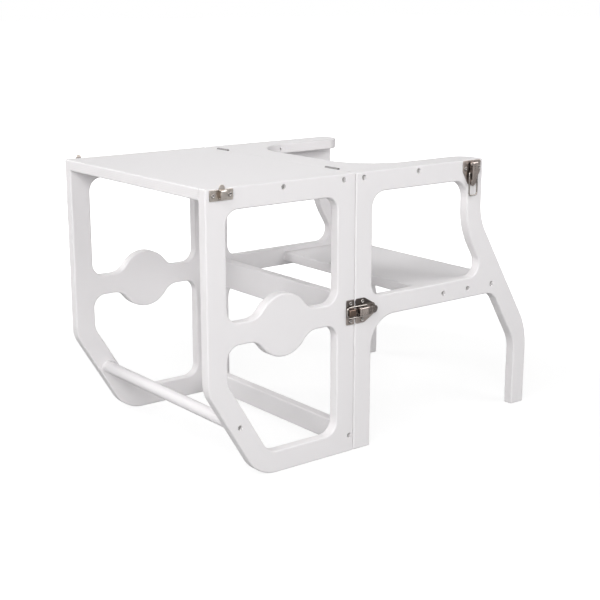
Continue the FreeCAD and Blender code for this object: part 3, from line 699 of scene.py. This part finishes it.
def brushed_metal():
    """Plated sheet: fine drawn lines one way, faint tarnish clouds, and painted shade where parts meet."""
    tarnish_levels = (0.86, 1.04)
    shade_reach = 0.0035         # metres
    shade_open = (0.45, 0.9)     # how open a corner is, from painted shade to none
    shade_levels = (0.3, 1.0)
    cloud_rough = 0.16
    tree, given, result = new_group(
        "brushed metal",
        [("Along", "Vector", None), ("Metal", "Color", (0.6, 0.6, 0.6, 1)), ("Dull", "Float", 0.3)],
        [("Color", "Color"), ("Roughness", "Float"), ("Height", "Float")])
    place = add_node(tree, "TexCoord").outputs["Object"]
    lines = noise(tree, combine(tree, "MULTIPLY", place, given["Along"]), Scale=3800.0, Detail=3.0)
    cloud = noise(tree, place, Scale=160.0, Detail=4.0, Roughness=0.6)
    tarnish = mapped(tree, cloud, (0.3, 0.7), tarnish_levels)
    # painted shade: ambient occlusion darkens the colour in corners and where parts meet
    corner = add_node(tree, "AmbientOcclusion", {"samples": 8}, Distance=shade_reach).outputs["AO"]
    painted_shade = mapped(tree, corner, shade_open, shade_levels)
    tone = calculate(tree, "MULTIPLY", tarnish, painted_shade)
    give(tree, result["Color"], scaled(tree, given["Metal"], tone))
    give(tree, result["Roughness"], calculate(tree, "MULTIPLY_ADD", cloud, cloud_rough, given["Dull"]))
    give(tree, result["Height"], lines)
    return tree


def painted_flank_shade():
    """Painted shade, given as Level on the faces that look along an axis, and 1 on the others."""
    flank_facing = (0.6, 0.95)  # share of the axis in a face's normal
    tree, given, result = new_group(
        "painted flank shade", [("Axis", "Vector", None), ("Level", "Float", 1.0)], [("Tone", "Float")])
    normal = add_node(tree, "TexCoord").outputs["Normal"]
    facing = calculate(tree, "ABSOLUTE", combine(tree, "DOT_PRODUCT", normal, given["Axis"]))
    give(tree, result["Tone"], mapped(tree, facing, flank_facing, (1.0, given["Level"])))
    return tree


FILM = paint_film()
PLY = ply_edge()
METAL = brushed_metal()
FLANK_SHADE = painted_flank_shade()


def group_node(tree, group, **inputs):
    """Outputs of a node group placed in a material."""
    return add_node(tree, "Group", {"node_tree": group}, **inputs).outputs


def relief(tree, height, strength, depth, **under):
    """Normal of a bump; depth in metres, under is the normal that it goes on."""
    return add_node(tree, "Bump", Height=height, Strength=strength, Distance=depth, **under).outputs["Normal"]


def new_material(name):
    """A new material, its node tree and its surface shader's inputs."""
    material = bpy.data.materials.new(name)
    material.use_nodes = True
    tree = material.node_tree
    return material, tree, tree.nodes["Principled BSDF"].inputs


# scale of a pattern along x, y and z: small where the wood's grain or the plating's lines run
GRAIN_UP = (1.0, 1.0, 0.05)
GRAIN_ACROSS = (1.0, 0.05, 1.0)
DRAWN_UP = (1.0, 1.0, 0.06)
PAINT = (0.815, 0.796, 0.804, 1)
PAINT_SPECULAR = 0.36
PLY_LAYER = 2.77            # from one layer of veneer to the next
SEAM_STAIN = (0.93, 0.915, 0.89, 1)
SEAM_SHARE = 0.5            # how much of the stain shows


def painted_wood(name, along, across):
    """White paint on plywood. along is the grain's pattern scale; across is the board's normal."""
    material, tree, surface = new_material(name)
    film = group_node(tree, FILM, Along=along, Paint=PAINT)
    colour = film["Color"]
    normal = relief(tree, film["Height"], strength=0.22, depth=0.00035)
    if across:
        edge = group_node(tree, PLY, Across=across, Layers=TURN / (PLY_LAYER * MM))
        normal = relief(tree, edge["Height"], strength=0.25, depth=0.0002, Normal=normal)
        colour = stained(tree, colour, SEAM_STAIN, calculate(tree, "MULTIPLY", edge["Mask"], SEAM_SHARE))
    give(tree, surface["Base Color"], colour)
    give(tree, surface["Roughness"], film["Roughness"])
    give(tree, surface["Specular IOR Level"], PAINT_SPECULAR)
    give(tree, surface["Normal"], normal)
    return material


def painted_light_along(tree, axis, start, stops):
    """Painted shade and highlights that change along an axis: stops are (distance from start, level)."""
    low, high = [(start + stops[i][0]) * MM for i in (0, -1)]
    depth = combine(tree, "DOT_PRODUCT", add_node(tree, "TexCoord").outputs["Object"], axis)
    ramp = add_node(tree, "ValToRGB", Fac=mapped(tree, depth, (low, high), (0.0, 1.0)))
    elements = ramp.color_ramp.elements
    while len(elements) < len(stops):
        elements.new(0.5)       # anywhere: each gets its place below
    for element, (spot, level) in zip(elements, stops):
        element.position = ((start + spot) * MM - low) / (high - low)
        element.color = (level, level, level, 1)
    return ramp.outputs["Color"]


def plated(name, metal, dull, shade=None, flank=None):
    """Nickel or zinc plated steel.

    shade is (axis, start, stops) of painted shade and highlights along an axis; flank is (axis, level) of
    painted shade on the faces that look along it.
    """
    material, tree, surface = new_material(name)
    skin = group_node(tree, METAL, Along=DRAWN_UP, Metal=metal, Dull=dull)
    colour = skin["Color"]
    # painted light: shade and highlights along an axis, and shade on the flanks
    if shade:
        colour = combine(tree, "MULTIPLY", colour, painted_light_along(tree, *shade))
    if flank:
        axis, level = flank
        colour = scaled(tree, colour, group_node(tree, FLANK_SHADE, Axis=axis, Level=level)["Tone"])
    give(tree, surface["Base Color"], colour)
    give(tree, surface["Metallic"], 1.0)
    give(tree, surface["Roughness"], skin["Roughness"])
    give(tree, surface["Normal"], relief(tree, skin["Height"], strength=0.12, depth=0.0001))
    return material


X, Y, Z, DOWN = (1, 0, 0), (0, 1, 0), (0, 0, 1), (0, 0, -1)
panel_paint = painted_wood("side panel paint", GRAIN_UP, Y)
board_paint = painted_wood("board paint", GRAIN_ACROSS, Z)
rail_paint = painted_wood("crossboard paint", GRAIN_ACROSS, X)
dowel_paint = painted_wood("dowel paint", GRAIN_ACROSS, None)

NICKEL = (0.62, 0.54, 0.50, 1)
# darker copy of the nickel: painted shade on the bridge's front face
NICKEL_IN_PAINTED_SHADE = (0.22, 0.16, 0.13, 1)
# paler copy of the nickel: painted light on the tower strike
NICKEL_IN_PAINTED_LIGHT = (0.80, 0.73, 0.67, 1)
# darker copy of the nickel: painted shade for the dark reflections along the wire
SHADED_WIRE_NICKEL = (0.50, 0.46, 0.43, 1)
ZINC = (0.52, 0.49, 0.47, 1)
# paler copy of the zinc: painted light on the heads down in their bores
ZINC_IN_PAINTED_LIGHT = (0.78, 0.77, 0.75, 1)
# steel of the hinges, made darker as painted shade of the slot that the barrels lie in between the boards
STEEL_IN_PAINTED_SHADE = (0.30, 0.29, 0.29, 1)
# painted shade and highlights along a lever, by distance from its head edge: a dark fold line, a shaded
# # bend, a lit ring and a shaded thumb end
JOINT_LEVER_PAINTED_LIGHT = [
    (0.0, 1.1), (4.7, 1.1), (5.4, 0.5), (6.1, 1.2), (16.5, 1.15),
    (20.0, 0.6), (27.0, 0.55), (28.5, 1.0), (30.0, 0.5), (43.0, 0.5),
]
TOWER_LEVER_PAINTED_LIGHT = [(0.0, 1.3), (4.7, 1.3), (5.4, 0.5), (6.1, 1.1), (43.0, 0.9)]
# painted shade and highlight on the joint's plates and bridge, by height over the latch's middle line:
# # the plates darker towards the top, the bridge's upper side lit
PLATE_PAINTED_SHADE = [(3.5, 1.0), (11.5, 0.22)]
STRIKE_PAINTED_SHADE = [(3.5, 1.0), (11.5, 0.4)]
BRIDGE_PAINTED_LIGHT = [(4.2, 1.0), (4.8, 3.0)]

nickel = plated("nickel plate", NICKEL, dull=0.22)
# joint plate and strike: painted shade, darker towards their upper edge
joint_plate_shaded_nickel = plated("joint plate nickel, painted shade", NICKEL, dull=0.24, shade=(Z, LATCH_Z, PLATE_PAINTED_SHADE))
joint_strike_shaded_nickel = plated("joint strike nickel, painted shade", NICKEL, dull=0.24, shade=(Z, LATCH_Z, STRIKE_PAINTED_SHADE))
# levers: painted shade and highlights along them, and painted shade on their flanks
joint_lever_lit_and_shaded_nickel = plated(
    "joint lever nickel, painted light", NICKEL, dull=0.2,
    shade=(X, HINGE_X + HEAD_GAP, JOINT_LEVER_PAINTED_LIGHT), flank=(Z, 0.4))
tower_lever_lit_and_shaded_nickel = plated(
    "tower lever nickel, painted light", NICKEL, dull=0.2,
    shade=(DOWN, HEAD_GAP - HEIGHT, TOWER_LEVER_PAINTED_LIGHT), flank=(X, 0.3))
# bridge: dark as painted shade, with a painted highlight on its upper side
bridge_shaded_nickel = plated("joint bridge nickel, painted shade and highlight", NICKEL_IN_PAINTED_SHADE, dull=0.3, shade=(Z, LATCH_Z, BRIDGE_PAINTED_LIGHT))
# tower strike: paler as painted light, with painted shade on its flanks
tower_strike_lit_nickel = plated("tower strike nickel, painted light and shade", NICKEL_IN_PAINTED_LIGHT, dull=0.22, flank=(X, 0.5))
shaded_wire_nickel = plated("nickel wire, painted shade", SHADED_WIRE_NICKEL, dull=0.1)
screw_zinc = plated("zinc screws", ZINC, dull=0.12)
# sunk heads: paler zinc as painted light
sunk_lit_zinc = plated("sunk zinc screws, painted light", ZINC_IN_PAINTED_LIGHT, dull=0.5)
# hinges: steel, darkened as painted shade of their slot
hinge_shaded_steel = plated("hinge steel, painted shade", STEEL_IN_PAINTED_SHADE, dull=0.45)


# ---------------------------------------------------------------- finish the CAD pieces
def finish_node(name, material):
    """Put a material on a whole CAD node."""
    mesh = frame["nodes"][name].data
    mesh.materials.clear()
    mesh.materials.append(material)


for side in ("_left", "_right"):
    for node in ("frame_side", "base_side"):
        finish_node(node + side, panel_paint)
    for node in ("hinge_frame_leaf", "hinge_base_leaf", "hinge_pin"):
        finish_node(node + side, hinge_shaded_steel)
    for node in ("joint_strike", "tower_strike", "joint_latch_plate", "tower_latch_plate",
                 "joint_latch_lever", "tower_latch_lever", "joint_latch_loop", "tower_latch_loop"):
        finish_node(node + side, nickel)
for node in ("table_board", "platform_board", "seat_board"):
    finish_node(node, board_paint)
for node in ("frame_crossboard", "base_crossboard"):
    finish_node(node, rail_paint)
finish_node("guard_dowel", dowel_paint)
for node in ("frame_panel_screws", "base_panel_screws", "strike_screws", "latch_screws",
             "hinge_frame_screws", "hinge_base_screws", "lever_rivets"):
    finish_node(node, screw_zinc)


# ---------------------------------------------------------------- pieces that replace CAD nodes
def dress(name, parts, body, materials, node, second_material_parts=()):
    """Make a piece, give it its materials, and let it ride on its body in place of its CAD node."""
    piece = make_piece(name, parts, second_material_parts)
    for material in materials:
        piece.data.materials.append(material)
    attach(piece, body)
    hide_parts(node)


def dress_pair(name, parts, place, bodies, materials, node, second_material_parts=()):
    """The left and the right piece of a fitting."""
    for side, side_parts, body in zip(("_left", "_right"), both_sides(parts, place), bodies):
        dress(name + side, side_parts, body, materials, node + side, second_material_parts)


def dress_latch(latch, place, plate_metal, lever_metal):
    """Plate, lever and loop of a latch, left and right."""
    levers = (latch + "_lever_left", latch + "_lever_right")
    loops = (latch + "_loop_left", latch + "_loop_right")
    dress_pair(latch + "_plate_sheet", latch_plate(), place, BASE, [plate_metal], latch + "_latch_plate")
    dress_pair(latch + "_lever_channel", lever(), place, levers, [lever_metal], latch + "_latch_lever")
    dress_pair(latch + "_wire_loop", loop(hooked=latch == "joint"), place, loops, [shaded_wire_nickel],
               latch + "_latch_loop")


BASE = ("base", "base")
UPPER = ("upper_frame", "upper_frame")
dress_latch("joint", at_joint, joint_plate_shaded_nickel, joint_lever_lit_and_shaded_nickel)
dress_latch("tower", at_tower, nickel, tower_lever_lit_and_shaded_nickel)
# the bridge takes the second material, which is the nickel in painted shade
dress_pair("joint_strike_bridge", strike(), at_joint, UPPER, [joint_strike_shaded_nickel, bridge_shaded_nickel],
           "joint_strike", second_material_parts=(1,))
dress_pair("tower_strike_bridge", strike(), at_folded_tower, UPPER, [tower_strike_lit_nickel],
           "tower_strike")

# how the recess of each screw head is turned; turns 16 to 23 and those after 35 are spare
turns = np.random.default_rng(7).uniform(0, math.pi / 2, 64)
dress("plate_screw_heads",
      small_screws(PLATE_SCREWS, turns[0:2], at_joint) + small_screws(PLATE_SCREWS, turns[2:4], at_tower),
      "base", [screw_zinc], "latch_screws")
dress("strike_screw_heads",
      small_screws(STRIKE_SCREWS, turns[4:6], at_joint)
      + small_screws(STRIKE_SCREWS, turns[6:8], at_folded_tower),
      "upper_frame", [screw_zinc], "strike_screws")
dress("rivet_heads", on_both(rivet(), at_joint) + on_both(rivet(), at_tower),
      "base", [screw_zinc], "lever_rivets")
dress("frame_screw_heads", panel_screws(FRAME_SCREWS, turns[8:16]),
      "upper_frame", [sunk_lit_zinc], "frame_panel_screws")
dress("base_screw_heads", panel_screws(BASE_SCREWS, turns[24:36]),
      "base", [sunk_lit_zinc], "base_panel_screws")

# ---------------------------------------------------------------- floor, light and camera, in metres
FLOOR_HALF = 30.0
FLOOR_PAINT = 0.40
FLOOR_ROUGH = 0.9
FLOOR_SPECULAR = 0.1
FLOOR_GLOW = 1.69           # what the camera sees of the floor away from the shadow
FLOOR_SHADOW = 0.5          # share of the lit floor in what the camera sees, near the object
SHADOW_NEAR = 0.6           # distance from the middle where that share starts to fade
SHADOW_FAR = 1.3
ROOM_FILL = 0.06
ROOM_LOW = 0.8              # mirrored room at the horizon
ROOM_HIGH = 0.15            # and from ROOM_RISE up
ROOM_RISE = 0.8
WHITE = (1, 1, 1, 1)
LAMP_TARGET = (0.0, 0.0, 0.22)
LAMPS = [
    # name, place, size, watts
    ("key light", (-2.2, -1.2, 2.6), 1.6, 36.0),
    ("side light", (1.6, -2.3, 1.8), 2.0, 44.0),
    ("camera light", (-2.5, -3.1, 1.65), 1.6, 71.0),
    ("left light", (-4.2, -1.6, 1.1), 2.0, 40.0),
    ("back right light", (1.6, 2.2, 2.2), 1.5, 19.0),
    ("back left light", (-1.6, 2.4, 1.8), 1.5, 46.0),
]
CAMERA_PLACE = (-1.27335, -1.6178, 0.7123)
CAMERA_TARGET = (-0.01532, -0.008, 0.20293)
CAMERA_LENS = 73.35         # millimetres
CAMERA_SENSOR = 36.0


def aim_at(item, place, target):
    """Put a lamp or camera in its place, its -Z axis towards the target and its Y axis up."""
    item.location = place
    back = unit(np.array(item.location) - np.array(target))
    right = unit(np.cross((0, 0, 1), back))
    up = np.cross(back, right)
    item.rotation_euler = Matrix(np.stack([right, up, back], -1).tolist()).to_euler()


def add_lamp(name, place, size, watts):
    """A square soft light that faces the object."""
    data = bpy.data.lights.new(name, "AREA")
    data.shape = "SQUARE"
    data.size = size
    data.energy = watts
    item = bpy.data.objects.new(name, data)
    bpy.context.scene.collection.objects.link(item)
    aim_at(item, place, LAMP_TARGET)


def studio_floor():
    """A wide pale floor: it sends light back up, and to the camera it is white but for a soft shadow."""
    corners = [(-1, -1), (1, -1), (1, 1), (-1, 1)]
    mesh = bpy.data.meshes.new("floor")
    mesh.from_pydata([(x * FLOOR_HALF, y * FLOOR_HALF, 0) for x, y in corners], [], [(0, 1, 2, 3)])
    floor = bpy.data.objects.new("floor", mesh)
    bpy.context.scene.collection.objects.link(floor)
    material, tree, surface = new_material("pale floor")
    give(tree, surface["Base Color"], (FLOOR_PAINT, FLOOR_PAINT, FLOOR_PAINT, 1))
    give(tree, surface["Roughness"], FLOOR_ROUGH)
    give(tree, surface["Specular IOR Level"], FLOOR_SPECULAR)
    lit = tree.nodes["Principled BSDF"].outputs["BSDF"]
    glow = add_node(tree, "Emission", Strength=FLOOR_GLOW).outputs["Emission"]
    reach = combine(tree, "LENGTH", add_node(tree, "TexCoord").outputs["Object"])
    share = mapped(tree, reach, (SHADOW_NEAR, SHADOW_FAR), (FLOOR_SHADOW, 0.0))
    to_camera = add_node(tree, "LightPath").outputs["Is Camera Ray"]
    shown = mixed(tree, to_camera, lit, mixed(tree, share, glow, lit))
    give(tree, tree.nodes["Material Output"].inputs["Surface"], shown)
    mesh.materials.append(material)


def studio_world():
    """White where the camera sees it; reflections see a dim room that is paler near the horizon."""
    world = bpy.data.worlds.new("studio")
    bpy.context.scene.world = world
    world.use_nodes = True
    tree = world.node_tree
    rays = add_node(tree, "LightPath").outputs
    direction = add_node(tree, "TexCoord").outputs["Generated"]
    rise = add_node(tree, "SeparateXYZ", Vector=direction).outputs["Z"]
    room = mapped(tree, rise, (0.0, ROOM_RISE), (ROOM_LOW, ROOM_HIGH))
    reflected = calculate(tree, "MULTIPLY", room, rays["Is Glossy Ray"])
    light = tree.nodes["Background"]
    give(tree, light.inputs["Color"], WHITE)
    give(tree, light.inputs["Strength"], calculate(tree, "ADD", reflected, ROOM_FILL))
    seen = add_node(tree, "Background", Strength=1.0, Color=WHITE).outputs["Background"]
    shown = mixed(tree, rays["Is Camera Ray"], light.outputs["Background"], seen)
    give(tree, tree.nodes["World Output"].inputs["Surface"], shown)


def add_camera():
    """The photograph's camera."""
    data = bpy.data.cameras.new("camera")
    data.lens = CAMERA_LENS
    data.sensor_width = CAMERA_SENSOR
    camera = bpy.data.objects.new("camera", data)
    bpy.context.scene.collection.objects.link(camera)
    aim_at(camera, CAMERA_PLACE, CAMERA_TARGET)
    bpy.context.scene.camera = camera


studio_floor()
studio_world()
for lamp in LAMPS:
    add_lamp(*lamp)
add_camera()
bpy.context.scene.view_settings.view_transform = "Standard"
